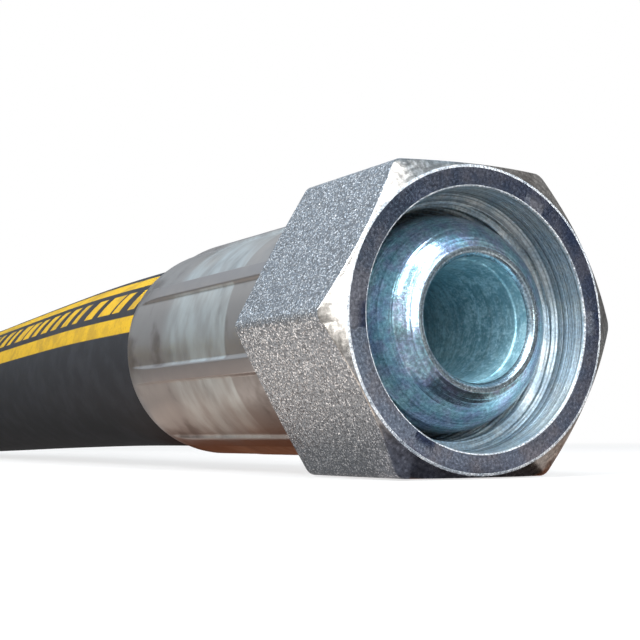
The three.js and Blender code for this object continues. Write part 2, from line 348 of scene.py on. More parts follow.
@dataclass(frozen=True)
class TurnedZinc:
    """Bright zinc plate, blue-passivated, on steel that was turned on a lathe.

    The tool leaves fine rings, which draw each highlight out across them; painted light and shade along
    the rings also lightens and darkens the colour. The passivation gives cloudy blue and grey tints,
    and handling leaves small bright nicks.
    """

    body: str
    cloud: str
    mark: str = "#eef2f6"              # where the tool or a knock has cut the plate bright
    cloud_size: float = 4.0            # mm
    ring: float = 0.25                 # mm between tool rings, coarser than a usual feed, to show
    ring_depth: float = 0.006          # mm
    painted_ring_shade: float = 0.16            # how far painted light and shade along the rings lightens and darkens the colour
    marked: float = 0.0                # share of bright marks
    mark_size: float = 0.35            # mm
    mottle: float = 0.15               # how far the fine grain lightens and darkens the tone
    roughness: float = 0.3
    metallic: float = 0.85             # the passivated film is a little milky
    grooved: float = 0.6               # how far the rings draw a highlight out

    def dress(self, name: str, face: Vector) -> bpy.types.Material:
        """The material, centred on a fitting."""
        made = Turned(name, face)
        ring_place = made.add("CombineXYZ", {}, {0: made.x, 1: made.radius, 2: 0.0})
        rings = made.add("TexNoise", {}, {
            "Vector": ring_place.outputs[0], "Scale": 1 / (self.ring * MM),
            "Detail": 2.0, "Roughness": 0.6})
        clouds = made.add("TexNoise", {}, {
            "Vector": made.place, "Scale": 1 / (self.cloud_size * MM), "Detail": 4.0, "Roughness": 0.6})
        cloudy = made.add("MapRange", SMOOTH, {
            "Value": clouds.outputs[0], "From Min": 0.4, "From Max": 0.62})
        base = made.add("Mix", COLOURS, {
            0: cloudy.outputs[0], 6: linear(self.body), 7: linear(self.cloud)})
        # painted light and shade: the colour lightens and darkens along the tool rings
        painted_ring_shade = made.add("MapRange", {}, {
            "Value": rings.outputs[0], "From Min": 0.3, "From Max": 0.7,
            "To Min": 1 - self.painted_ring_shade, "To Max": 1 + 0.6 * self.painted_ring_shade})
        ringed = made.add("VectorMath", {"operation": "SCALE"}, {
            0: base.outputs[2], "Scale": painted_ring_shade.outputs[0]})
        knocks = made.add("TexNoise", {}, {
            "Vector": made.place, "Scale": 1 / (self.mark_size * MM), "Detail": 3.0, "Roughness": 0.7})
        grain_tone = made.add("MapRange", {}, {
            "Value": knocks.outputs[0], "From Min": 0.35, "From Max": 0.65,
            "To Min": 1 - self.mottle, "To Max": 1 + self.mottle})
        mottled = made.add("VectorMath", {"operation": "SCALE"}, {
            0: ringed.outputs[0], "Scale": grain_tone.outputs[0]})
        cut = made.add("MapRange", SMOOTH, {
            "Value": knocks.outputs[0], "From Min": 0.55, "From Max": 0.68, "To Max": self.marked})
        colour = made.add("Mix", COLOURS, {
            0: cut.outputs[0], 6: mottled.outputs[0], 7: linear(self.mark)})
        dull = made.add("MapRange", {}, {
            "Value": clouds.outputs[0], "From Min": 0.3, "From Max": 0.7,
            "To Min": self.roughness * 0.8, "To Max": self.roughness * 1.3})
        relief = made.add("Math", {"operation": "MULTIPLY_ADD"}, {
            0: knocks.outputs[0], 1: self.marked, 2: rings.outputs[0]})
        bump = made.add("Bump", {}, {
            "Strength": 1.0, "Distance": self.ring_depth * MM, "Height": relief.outputs[0]})
        along_ring = made.add("VectorMath", {"operation": "CROSS_PRODUCT"}, {
            0: (1.0, 0.0, 0.0), 1: made.place})
        return made.finish({
            "Base Color": colour.outputs[2], "Metallic": self.metallic, "Roughness": dull.outputs[0],
            "Normal": bump.outputs[0], "Anisotropic": self.grooved, "Anisotropic Rotation": 0.25,
            "Tangent": along_ring.outputs[0]})


@dataclass(frozen=True)
class CrimpedZinc:
    """Satin zinc plate on a steel sleeve that eight jaws have pressed.

    The jaws leave a pale, streaky band where they press, and dull plate between and beyond them.
    Hands and oil leave brownish smudges.
    """

    body: str = "#949393"
    smudge: str = "#625c5a"
    polished: str = "#b7c0c2"
    rib: str = "#8f8d8e"               # left as it was plated, between the jaws
    rib_foot: float = 16.1             # mm, radius above which the surface is a rib
    band_front: float = -35.0          # mm, where the jaws' pressure ends
    band_rear: float = -52.0
    band_fade: float = 5.0             # mm over which the band fades behind
    smudge_size: float = 6.0           # mm
    streak_size: float = 2.6           # mm along the sleeve, and more than twice that round it
    relief: float = 0.03               # mm
    metallic: float = 0.95
    roughness: float = 0.34

    def dress(self, name: str, face: Vector) -> bpy.types.Material:
        """The material, centred on a fitting."""
        made = Turned(name, face)
        smudges = made.add("TexNoise", {}, {
            "Vector": made.place, "Scale": 1 / (self.smudge_size * MM), "Detail": 3.0, "Roughness": 0.5})
        smudged = made.add("MapRange", SMOOTH, {
            "Value": smudges.outputs[0], "From Min": 0.5, "From Max": 0.72, "To Max": 0.8})
        base = made.add("Mix", COLOURS, {
            0: smudged.outputs[0], 6: linear(self.body), 7: linear(self.smudge)})
        ahead = made.add("MapRange", SMOOTH, {
            "Value": made.x, "From Min": self.band_front * MM, "From Max": (self.band_front + 0.6) * MM,
            "To Min": 1.0, "To Max": 0.0})
        behind = made.add("MapRange", SMOOTH, {
            "Value": made.x, "From Min": (self.band_rear - self.band_fade) * MM,
            "From Max": self.band_rear * MM})
        streaks = made.add("Mapping", {}, {"Vector": made.place, "Scale": (1.0, 0.45, 0.45)})
        lines = made.add("TexNoise", {}, {
            "Vector": streaks.outputs[0], "Scale": 1 / (self.streak_size * MM),
            "Detail": 3.0, "Roughness": 0.5})
        worn = made.add("MapRange", SMOOTH, {
            "Value": lines.outputs[0], "From Min": 0.3, "From Max": 0.7, "To Min": 0.3, "To Max": 1.0})
        band = made.add("Math", {"operation": "MULTIPLY"}, {0: ahead.outputs[0], 1: behind.outputs[0]})
        bright = made.add("Math", {"operation": "MULTIPLY"}, {0: band.outputs[0], 1: worn.outputs[0]})
        pressed = made.add("Mix", COLOURS, {
            0: bright.outputs[0], 6: base.outputs[2], 7: linear(self.polished)})
        raised = made.add("MapRange", SMOOTH, {
            "Value": made.radius, "From Min": self.rib_foot * MM, "From Max": (self.rib_foot + 0.2) * MM})
        colour = made.add("Mix", COLOURS, {
            0: raised.outputs[0], 6: pressed.outputs[2], 7: linear(self.rib)})
        dull = made.add("MapRange", {}, {
            "Value": smudges.outputs[0], "From Min": 0.3, "From Max": 0.7,
            "To Min": self.roughness * 0.85, "To Max": self.roughness * 1.3})
        bump = made.add("Bump", {}, {
            "Strength": 1.0, "Distance": self.relief * MM, "Height": lines.outputs[0]})
        return made.finish({
            "Base Color": colour.outputs[2], "Metallic": self.metallic, "Roughness": dull.outputs[0],
            "Normal": bump.outputs[0]})


@dataclass(frozen=True)
class CoverRubber:
    """Black synthetic rubber that was cured in a cloth wrap, with a yellow layline printed on it.

    The wrap leaves a fine matte grain with hardly any highlight. The ink is rubbed thin in
    patches. The layline has two stripes with slanted blocks between them.
    """

    body: str = "#2e3034"
    worn: str = "#36383d"
    ink: str = "#d0a828"
    lower_stripe: Pair = (157.0, 168.0)                    # degrees round the hose
    blocks: Pair = (137.0, 152.0)
    upper_stripe: Pair = (121.0, 132.0)
    block_pitch: float = 7.0           # mm
    block_slant: float = 0.06          # metres along the hose for one turn round it
    block_gaps: Pair = (0.12, 0.6)     # shares of the pitch
    block_edge: float = 0.06           # share of the pitch over which a block's end fades
    stripe_edge: Pair = (0.0008, 0.0012)                   # turns that an edge fades in and out
    ink_left: float = 0.72             # share of the ink where it's rubbed thinnest
    scuff_size: float = 5.0            # mm
    cloth: float = 0.35                # mm between the wrap's threads
    relief: float = 0.03               # mm
    roughness: float = 0.7
    ior: float = 1.52
    sheen: float = 0.12                # an oily, dusty skin reflects less than clean rubber

    def dress(self, name: str) -> bpy.types.Material:
        """The material, on the hose's own UV map: turns round it and metres along it."""
        material, tree = new_tree(name)
        uv = add_node(tree, "UVMap", {"uv_map": "along_hose"})
        axes = add_node(tree, "SeparateXYZ", {}, {0: uv.outputs[0]})
        around, along = axes.outputs["X"], axes.outputs["Y"]

        def stripe(span: Pair) -> bpy.types.NodeSocket:
            """1 inside a span of degrees round the hose, with slightly soft edges."""
            middle, half = (span[0] + span[1]) / 720, (span[1] - span[0]) / 720
            offset = add_node(tree, "Math", {"operation": "SUBTRACT"}, {0: around, 1: middle})
            distance = add_node(tree, "Math", {"operation": "ABSOLUTE"}, {0: offset.outputs[0]})
            return add_node(tree, "MapRange", SMOOTH, {
                "Value": distance.outputs[0], "From Min": half - self.stripe_edge[0],
                "From Max": half + self.stripe_edge[1], "To Min": 1.0, "To Max": 0.0}).outputs[0]

        slant = add_node(tree, "Math", {"operation": "MULTIPLY_ADD"}, {
            0: around, 1: -self.block_slant, 2: along})
        count = add_node(tree, "Math", {"operation": "MULTIPLY"}, {
            0: slant.outputs[0], 1: 1 / (self.block_pitch * MM)})
        cell = add_node(tree, "Math", {"operation": "FRACT"}, {0: count.outputs[0]})
        number = add_node(tree, "Math", {"operation": "FLOOR"}, {0: count.outputs[0]})
        draw = add_node(tree, "TexWhiteNoise", {"noise_dimensions": "1D"}, {"W": number.outputs[0]})
        gap = add_node(tree, "MapRange", {}, {
            "Value": draw.outputs["Value"], "To Min": self.block_gaps[0], "To Max": self.block_gaps[1]})
        past_gap = add_node(tree, "Math", {"operation": "SUBTRACT"}, {
            0: cell.outputs[0], 1: gap.outputs[0]})
        block = add_node(tree, "MapRange", SMOOTH, {
            "Value": past_gap.outputs[0], "From Min": 0.0, "From Max": self.block_edge})
        blocks = add_node(tree, "Math", {"operation": "MULTIPLY"}, {
            0: block.outputs[0], 1: stripe(self.blocks)})
        stripes = add_node(tree, "Math", {"operation": "MAXIMUM"}, {
            0: stripe(self.lower_stripe), 1: stripe(self.upper_stripe)})
        printed = add_node(tree, "Math", {"operation": "MAXIMUM"}, {
            0: stripes.outputs[0], 1: blocks.outputs[0]})
        source = add_node(tree, "TexCoord")
        scuffs = add_node(tree, "TexNoise", {}, {
            "Vector": source.outputs["Object"], "Scale": 1 / (self.scuff_size * MM),
            "Detail": 5.0, "Roughness": 0.6})
        fine = add_node(tree, "TexNoise", {}, {
            "Vector": source.outputs["Object"], "Scale": 1 / (self.cloth * MM), "Detail": 2.0})
        scuffed = add_node(tree, "MapRange", SMOOTH, {
            "Value": scuffs.outputs[0], "From Min": 0.4, "From Max": 0.7})
        rubber = add_node(tree, "Mix", COLOURS, {
            0: scuffed.outputs[0], 6: linear(self.body), 7: linear(self.worn)})
        wear = add_node(tree, "MapRange", {}, {
            "Value": fine.outputs[0], "From Min": 0.3, "From Max": 0.45, "To Min": 0.8, "To Max": 1.0})
        rubbed = add_node(tree, "MapRange", SMOOTH, {
            "Value": scuffs.outputs[0], "From Min": 0.42, "From Max": 0.62,
            "To Min": 1.0, "To Max": self.ink_left})
        left = add_node(tree, "Math", {"operation": "MULTIPLY"}, {
            0: wear.outputs[0], 1: rubbed.outputs[0]})
        inked = add_node(tree, "Math", {"operation": "MULTIPLY"}, {
            0: printed.outputs[0], 1: left.outputs[0]})
        colour = add_node(tree, "Mix", COLOURS, {
            0: inked.outputs[0], 6: rubber.outputs[2], 7: linear(self.ink)})
        bump = add_node(tree, "Bump", {}, {
            "Strength": 0.6, "Distance": self.relief * MM, "Height": fine.outputs[0]})
        surface = add_node(tree, "BsdfPrincipled", {}, {
            "Base Color": colour.outputs[2], "Roughness": self.roughness, "IOR": self.ior,
            "Specular IOR Level": self.sheen, "Normal": bump.outputs[0]})
        add_node(tree, "OutputMaterial", {}, {"Surface": surface.outputs[0]})
        return material


@dataclass(frozen=True)
class TubeRubber:
    """Extruded nitrile rubber inside the hose, which looks plain matte black with a faint grain."""

    body: str = "#1d1e20"
    worn: str = "#28292c"
    grain: float = 1.5                 # mm
    relief: float = 0.03               # mm
    roughness: float = 0.7
    ior: float = 1.52

    def dress(self, name: str) -> bpy.types.Material:
        """The material."""
        material, tree = new_tree(name)
        source = add_node(tree, "TexCoord")
        grain = add_node(tree, "TexNoise", {}, {
            "Vector": source.outputs["Object"], "Scale": 1 / (self.grain * MM), "Detail": 3.0})
        colour = add_node(tree, "Mix", COLOURS, {
            0: grain.outputs[0], 6: linear(self.body), 7: linear(self.worn)})
        bump = add_node(tree, "Bump", {}, {
            "Strength": 0.5, "Distance": self.relief * MM, "Height": grain.outputs[0]})
        surface = add_node(tree, "BsdfPrincipled", {}, {
            "Base Color": colour.outputs[2], "Roughness": self.roughness, "IOR": self.ior,
            "Normal": bump.outputs[0]})
        add_node(tree, "OutputMaterial", {}, {"Surface": surface.outputs[0]})
        return material


@dataclass(frozen=True)
class BraidedWire:
    """Brass-coated steel wire that was braided, which shows as crossing bands of bright strands."""

    wire: str = "#c2ad72"
    gap: str = "#4a412b"
    band: float = 5.0                  # mm along the hose from one band of wires to the next
    bands_round: float = 12.0
    relief: float = 0.25               # mm from a band to the gap beside it
    roughness: float = 0.38

    def dress(self, name: str) -> bpy.types.Material:
        """The material, on the layer's own UV map: turns round it and metres along it."""
        material, tree = new_tree(name)
        uv = add_node(tree, "UVMap", {"uv_map": "along_hose"})
        axes = add_node(tree, "SeparateXYZ", {}, {0: uv.outputs[0]})
        waves = []
        for hand in (1.0, -1.0):
            turned = add_node(tree, "Math", {"operation": "MULTIPLY"}, {
                0: axes.outputs["X"], 1: hand * self.bands_round})
            phase = add_node(tree, "Math", {"operation": "MULTIPLY_ADD"}, {
                0: axes.outputs["Y"], 1: 1 / (self.band * MM), 2: turned.outputs[0]})
            strands = add_node(tree, "Math", {"operation": "PINGPONG"}, {0: phase.outputs[0], 1: 0.5})
            waves.append(strands.outputs[0])
        over = add_node(tree, "Math", {"operation": "MAXIMUM"}, {0: waves[0], 1: waves[1]})
        shown = add_node(tree, "MapRange", {}, {
            "Value": over.outputs[0], "From Min": 0.2, "From Max": 0.45})
        colour = add_node(tree, "Mix", COLOURS, {
            0: shown.outputs[0], 6: linear(self.gap), 7: linear(self.wire)})
        bump = add_node(tree, "Bump", {}, {
            "Strength": 1.0, "Distance": self.relief * MM, "Height": over.outputs[0]})
        surface = add_node(tree, "BsdfPrincipled", {}, {
            "Base Color": colour.outputs[2], "Metallic": 1.0, "Roughness": self.roughness,
            "Normal": bump.outputs[0]})
        add_node(tree, "OutputMaterial", {}, {"Surface": surface.outputs[0]})
        return material


# ---- Metal pieces ----------------------------------------------------------------------------


@dataclass
class SwivelNut:
    """Loose M30 x 2 nut, 36 mm across flats, chamfered at its corners and threaded inside."""

    apothem: float = 18.0
    corner_round: float = 1.5          # radius of the six long corners
    face_ring: float = 17.69           # radius of the flat face
    chamfer_angle: float = 31.0
    chamfer_rear: float = -2.6         # place behind the chamfer's curved edge
    rear_slope: float = 0.19
    mouth_radius: float = 15.3
    mouth_depth: float = 5.0
    thread_minor: float = 13.9
    thread_depth: float = 1.1
    thread_pitch: float = 2.0
    thread_flank: Pair = (0.15, 0.85)  # shares of half a pitch between which the flank rises
    thread_end: float = -15.6
    seat_rear: float = -19.1
    neck_bore: float = 10.4
    steps: int = 360
    crowding: float = 0.8              # how much the steps crowd at the corners
    end_zone: float = 1.0              # at each end, where the outline follows the chamfer
    edge_width: float = 0.17           # of the rounded, burred edges of the face
    rear_edge: float = 0.2             # width of the rounding at the rear
    ridge: float = 0.06                # height of the tool's ridges on the mouth's wall
    ridge_pitch: float = 0.7
    ridge_worn: float = 0.75           # share that wear has taken off them at the front
    ridge_wear: Pair = (-3.6, -1.4)    # places between which the wear sets in
    wall_margin: float = 0.04          # past the mouth's radius, and still its wall
    wall_ends: Pair = (0.05, 0.1)      # left out of the wall, at the rear and at the front
    # Least part of a face's normal that points forwards, which tells the kinds of surface apart.
    flat: float = 0.98
    chamfered: float = 0.45
    rounded: float = 0.2
    rounded_outside: float = 0.9       # on the face's outer edge, whose rest is the chamfer's
    rounded_most: float = 0.995

    def hexagon(self, angle: float) -> float:
        """Radius of the rounded hexagon at an angle from a corner, in radians."""
        third = math.radians(60)
        off = (angle + third / 2) % third - third / 2
        centre = (self.apothem - self.corner_round) / math.cos(third / 2)
        side = centre * math.sin(off)
        touch = math.atan2(self.corner_round * math.sin(third / 2),
                           centre + self.corner_round * math.cos(third / 2))
        if abs(off) < touch:
            return centre * math.cos(off) + math.sqrt(self.corner_round ** 2 - side ** 2)
        return self.apothem / math.cos(third / 2 - abs(off))

    def thread(self, x: float, angle: float) -> float:
        """Radius of the threaded bore, run out at both ends."""
        share = ((x + self.thread_pitch * angle / TURN) / self.thread_pitch) % 1.0
        wave = smoothstep(abs(2 * share - 1), *self.thread_flank)
        fade = smoothstep(x, self.thread_end, self.thread_end + self.thread_pitch)
        behind = -self.mouth_depth - x
        cone = self.mouth_radius - behind * (self.mouth_radius - self.thread_minor) / self.thread_depth
        return max(self.thread_minor + self.thread_depth * wave * fade, min(cone, self.mouth_radius))

    def mouth(self) -> list[Pair]:
        """Profile of the mouth's wall, with the ridges that the boring tool left."""
        points = []
        for x in run(-self.mouth_depth, -0.4, step=0.1):
            turn = TURN * x / self.ridge_pitch
            swell = math.sin(turn) + 0.5 * math.sin(1.7 * turn + 1.0)
            kept = 1 - self.ridge_worn * smoothstep(x, *self.ridge_wear)
            points.append((x, self.mouth_radius - self.ridge * kept * (1.5 + swell) / 2))
        return points

    def shape(self, x: float, radius: float, angle: float) -> Triple:
        """Rule that turns the spun blank into the threaded hexagon."""
        angle -= self.crowding * math.sin(6 * angle) / 6
        if radius > self.face_ring + SAME:
            radius = self.hexagon(angle)
            if x > -self.end_zone:
                x = -(radius - self.face_ring) * math.tan(math.radians(self.chamfer_angle))
            elif x < self.end_zone - NUT_LENGTH:
                x = -NUT_LENGTH + (radius - self.face_ring) * self.rear_slope
        elif self.thread_end < x < -self.mouth_depth and radius > self.thread_minor - SAME:
            radius = self.thread(x, angle)
        return x, radius, angle

    def region(self, middle: Vector, normal: Vector) -> Region:
        """Kind of surface of a face."""
        radius = off_axis(middle)
        leaning = middle.x > -self.edge_width and self.rounded < normal.x < self.rounded_most
        if leaning and radius < self.face_ring + self.edge_width:
            if radius < self.mouth_radius + self.edge_width or normal.x > self.rounded_outside:
                return Region.EDGE
        along_wall = self.wall_ends[0] - NUT_LENGTH < middle.x < -self.wall_ends[1]
        if along_wall and radius < self.mouth_radius + self.wall_margin:
            return Region.INSIDE
        if normal.x > self.flat:
            return Region.FACE
        return Region.CHAMFER if normal.x > self.chamfered else Region.BODY

    def build(self) -> bpy.types.Mesh:
        """The nut's mesh, in mm, about the fitting's axis."""
        flank = [(x, self.apothem) for x in run(-0.6, 0.6 - NUT_LENGTH, step=3.6)]
        first_turn = -self.mouth_depth - self.thread_depth
        threads = [(x, self.thread_minor) for x in run(self.thread_end, first_turn, step=0.125)]
        blank = self.mouth_radius - 0.3    # between thread and mouth; shape() gives it its cone
        lead_in = [(x, blank) for x in run(first_turn, -self.mouth_depth, step=0.125)]
        bm = lathe([
            (0.0, self.face_ring), *flank, (-NUT_LENGTH, self.face_ring), (-NUT_LENGTH, self.neck_bore),
            (self.seat_rear, self.neck_bore), *threads, *lead_in[1:-1], *self.mouth(),
            (0.0, self.mouth_radius),
        ], self.steps)
        reshape(bm, self.shape)
        bm.normal_update()
        soften(bm, self.edge_width, least=20, here=lambda p: (
            p.x > -SAME or p.x > self.chamfer_rear and off_axis(p) > self.face_ring - 0.1))
        soften(bm, self.rear_edge, least=20, here=lambda p: (
            p.x < self.end_zone - NUT_LENGTH and off_axis(p) > self.neck_bore - 0.1))
        bm.normal_update()
        colour_regions(bm, self.region)
        return to_mesh(bm, "swivel_nut")

    def finishes(self, end: str, face: Vector) -> list[bpy.types.Material]:
        """Materials in the order of the regions."""
        # Faced with a blunt tool, so the ring has chatter marks and small nicks.
        faced = TurnedZinc("#8c9ab4", "#9c9fae", mark="#e6ecf2", ring=0.3, marked=0.3, mark_size=0.35,
                           mottle=0.45, roughness=0.24, metallic=1.0, cloud_size=5.0, grooved=0.1)
        # Turned across the corners, and knocked there by spanners: warm and scratched.
        chamfered = TurnedZinc("#b3b1ac", "#918d88", mark="#f4f1ea", ring=0.35, ring_depth=0.012,
                               marked=0.3, mark_size=0.5, mottle=0.4, roughness=0.27, metallic=1.0,
                               grooved=0.3)
        # Bored in deep, coarse turns, whose ridges band the wall light and dark along its depth, with
        # strong painted light and shade along the turns on top.
        bored = TurnedZinc("#d8e2e4", "#b6cad6", ring=0.45, ring_depth=0.3, painted_ring_shade=0.6, mottle=0.25,
                           roughness=0.34, metallic=0.8, grooved=0.85)
        # Plate builds up on a burr, and the edge's near-white colour is a painted highlight along it, so
        # the edge is a broken white line.
        burred = TurnedZinc("#dfe5ea", "#a4aeb8", mark="#ffffff", ring=0.3, ring_depth=0.03, marked=0.9,
                            mark_size=0.28, mottle=0.6, roughness=0.45, metallic=0.6, grooved=0.0)
        return [
            BlastedZinc().dress(f"{end}_blasted_zinc_on_forged_steel", face),
            faced.dress(f"{end}_faced_zinc_with_chatter", face),
            chamfered.dress(f"{end}_chamfered_zinc", face),
            bored.dress(f"{end}_bored_and_threaded_zinc", face),
            burred.dress(f"{end}_burred_zinc_edge_painted_highlight", face),
        ]


@dataclass
class BallNoseStem:
    """Stem with a ball nose, a neck for the nut, a groove for the ferrule and a barbed tail."""

    lip_x: float = -0.2
    ball_radius: float = 13.0
    arc_radius: float = 9.0
    lip_radius: float = 8.4
    mouth_radius: float = 7.8
    nose_bore: float = 7.3
    lip_depth: float = 0.8             # of the chamfer inside the lip
    step_depth: float = 2.6
    taper: float = 6.0                 # behind the step, down to the plain bore
    bore: float = 6.6
    step_edge: Pair = (0.15, 0.2)      # of the chamfer behind the step, along it and across
    neck: float = 10.0
    collar: float = 2.0
    tail_length: float = 35.5
    tail_radius: float = 8.9
    barb_count: int = 5
    barb_depth: float = 0.55
    barb_front: float = 0.3            # from a barb's foot to its crest
    lip_edge: float = 0.12             # width of the rounding on the lip
    bore_edge: float = 0.15            # width of the rounding on the step
    faced: float = 0.95                # least part of the lip's normals that points forwards
    bore_margin: float = 0.02          # past the bore's radius, and still the bore
    lip_margin: float = 0.05           # past the lip's radii, and still the lip
    lip_behind: float = 0.2            # how far behind its foot the lip's chamfer still counts
    steps: int = 256

    def region(self, middle: Vector, normal: Vector) -> Region:
        """Kind of surface of a face."""
        radius = off_axis(middle)
        foot = self.lip_x - self.lip_depth
        if radius < self.nose_bore + self.bore_margin and middle.x < foot:
            return Region.INSIDE
        if radius < self.mouth_radius + self.lip_margin and middle.x > foot - self.lip_behind:
            return Region.CHAMFER
        faced = normal.x > self.faced and radius < self.lip_radius + self.lip_margin
        return Region.FACE if faced else Region.BODY

    def build(self) -> bpy.types.Mesh:
        """The stem's mesh, in mm, about the fitting's axis."""
        centre_radius = self.ball_radius - self.arc_radius
        lip_angle = math.degrees(math.asin((self.lip_radius - centre_radius) / self.arc_radius))
        centre = (self.lip_x - self.arc_radius * math.cos(math.radians(lip_angle)), centre_radius)
        nose = arc(centre, self.arc_radius, lip_angle, end=125, count=56)
        back_x, back_radius = nose[-1]
        tail_start = GROOVE_REAR - self.collar
        pitch = self.tail_length / (self.barb_count + 1)
        tail_foot = self.tail_radius - self.barb_depth
        barbs = []
        for i in range(self.barb_count):
            crest = tail_start - (i + 1) * pitch
            barbs += [(crest + self.barb_front, tail_foot), (crest, self.tail_radius)]
        tail_end = tail_start - self.tail_length
        step = self.lip_x - self.step_depth
        bores = [(x, self.bore) for x in run(tail_end, step - self.taper, step=4.0)]
        bm = lathe([
            *nose, (back_x - (back_radius - self.neck), self.neck),
            (GROOVE_FRONT, self.neck), (GROOVE_FRONT, GROOVE_RADIUS), (GROOVE_REAR, GROOVE_RADIUS),
            (GROOVE_REAR, self.neck), (tail_start, self.neck), (tail_start, tail_foot),
            *barbs, (tail_end, tail_foot), *bores,
            (step - self.step_edge[0], self.nose_bore - self.step_edge[1]), (step, self.nose_bore),
            (self.lip_x - self.lip_depth, self.nose_bore), (self.lip_x, self.mouth_radius),
        ], self.steps)
        soften(bm, self.lip_edge, least=18, here=lambda p: p.x > self.lip_x - 0.3)
        soften(bm, self.bore_edge, least=18, here=lambda p: (
            step - 1 < p.x < step + 0.1 and off_axis(p) < self.nose_bore + 0.1))
        bm.normal_update()
        colour_regions(bm, self.region)
        return to_mesh(bm, "ball_nose_stem")

    def finishes(self, end: str, face: Vector) -> list[bpy.types.Material]:
        """Materials in the order of the regions."""
        # Form-turned and passivated blue: the ball mirrors the room in rings of light and dark, and
        # painted light and shade along its turns adds to them.
        body = TurnedZinc("#a0cbd8", "#a3b4d0", mark="#e9f2f8", ring=0.45, ring_depth=0.07, painted_ring_shade=0.3,
                          marked=0.3, mark_size=0.4, mottle=0.35, cloud_size=1.8, roughness=0.18,
                          metallic=0.95, grooved=0.45)
        # Faced and knocked in handling: a pale ring with fine turns, painted light and dark along them,
        # and bright nicks.
        lip = TurnedZinc("#b4c6d0", "#93a7b4", ring=0.25, ring_depth=0.02, painted_ring_shade=0.5, marked=0.4,
                         mark_size=0.3, mottle=0.4, roughness=0.25, metallic=0.95)
        # Drilled, and thinly plated that far in: cloudy blue with hardly a highlight.
        bore = TurnedZinc("#86b6c6", "#a6d0dc", ring=1.1, ring_depth=0.03, marked=0.2, cloud_size=1.4,
                          roughness=0.4, metallic=0.6)
        return [
            body.dress(f"{end}_blue_passivated_turned_zinc", face),
            lip.dress(f"{end}_faced_lip_zinc", face),
            lip.dress(f"{end}_chamfered_lip_zinc", face),
            bore.dress(f"{end}_drilled_bore_zinc", face),
        ]


@dataclass
class CrimpedFerrule:
    """Sleeve that eight jaws have pressed on the hose, with a rib left between the jaws."""

    valley: float = 15.85
    rib: float = 0.5
    rib_count: int = 8
    rib_phase: float = 15.0
    rib_half: float = 4.3              # degrees
    flank: float = 1.0                 # degrees
    front_chamfer: float = 0.8
    rear_round: float = 10.0
    rear_drop: float = 0.8             # below the ribs
    edge_width: float = 0.15           # of the rounding at both ends
    lip: float = 3.4
    bore: float = 13.7
    seat: float = 15.03
    tooth_count: int = 5
    tooth_depth: float = 0.6
    tooth_half: float = 0.2            # share of the pitch
    steps: int = 640
    crowding: float = 0.55             # how much the steps crowd at the ribs

    def envelope(self, x: float) -> float:
        """Radius of the sleeve over its ribs."""
        top = self.valley + self.rib
        share = max(0.0, 1 - (x - FERRULE_REAR) / self.rear_round)
        front = max(0.0, x - (FERRULE_FRONT - self.front_chamfer))
        return top - self.rear_drop * share * share - front

    def shape(self, x: float, radius: float, angle: float) -> Triple:
        """Rule that presses the valleys between the ribs into the spun sleeve."""
        turned = self.rib_count * (angle - math.radians(self.rib_phase))
        angle -= self.crowding * math.sin(turned) / self.rib_count
        if radius > self.seat + 0.2:
            pitch = 360 / self.rib_count
            off = abs((math.degrees(angle) - self.rib_phase + pitch / 2) % pitch - pitch / 2)
            depth = smoothstep(off, self.rib_half - self.flank, self.rib_half + self.flank)
            radius = min(radius, self.valley + self.rib * (1 - depth))
        return x, radius, angle

    def build(self) -> bpy.types.Mesh:
        """The ferrule's mesh, in mm, about the fitting's axis."""
        rear = FERRULE_REAR
        chamfer_end, round_start = FERRULE_FRONT - self.front_chamfer, rear + self.rear_round
        outside = [(x, self.envelope(x)) for x in run(chamfer_end, round_start, step=2.5)]
        rounding = [(x, self.envelope(x)) for x in run(round_start, rear, step=0.8)]
        lip_rear = FERRULE_FRONT - self.lip
        seat_front = rear + COVER_SEAT
        pitch = (lip_rear - seat_front) / (self.tooth_count + 1)
        teeth = []
        for i in range(self.tooth_count):
            groove = lip_rear - (i + 1) * pitch
            half = self.tooth_half * pitch
            teeth += [(groove - half, self.bore), (groove, self.bore + self.tooth_depth),
                      (groove + half, self.bore)]
        lip_bore = GROOVE_RADIUS + SEAT_GAP
        bm = lathe([
            (FERRULE_FRONT, self.envelope(FERRULE_FRONT)), *outside, *rounding[1:],
            (rear, self.seat), (seat_front, self.seat), (seat_front, self.bore), *sorted(teeth),
            (lip_rear, self.bore), (lip_rear, lip_bore), (FERRULE_FRONT, lip_bore),
        ], self.steps)
        reshape(bm, self.shape)
        bm.normal_update()
        soften(bm, self.edge_width, least=25, here=lambda p: (
            p.x < rear + 0.05 or p.x > FERRULE_FRONT - 1.0))
        bm.normal_update()
        return to_mesh(bm, "crimped_ferrule")

    def finishes(self, end: str, face: Vector) -> list[bpy.types.Material]:
        """The one material of the sleeve."""
        return [CrimpedZinc().dress(f"{end}_crimped_satin_zinc", face)]


# ---- Hose ------------------------------------------------------------------------------------


class Layer(Enum):
    """Layers of the hose, with the node that each stands for."""

    COVER = "hose_cover"
    OUTER_BRAID = "outer_braid"
    BETWEEN_BRAIDS = "braid_interlayer"
    INNER_BRAID = "inner_braid"
    TUBE = "inner_tube"


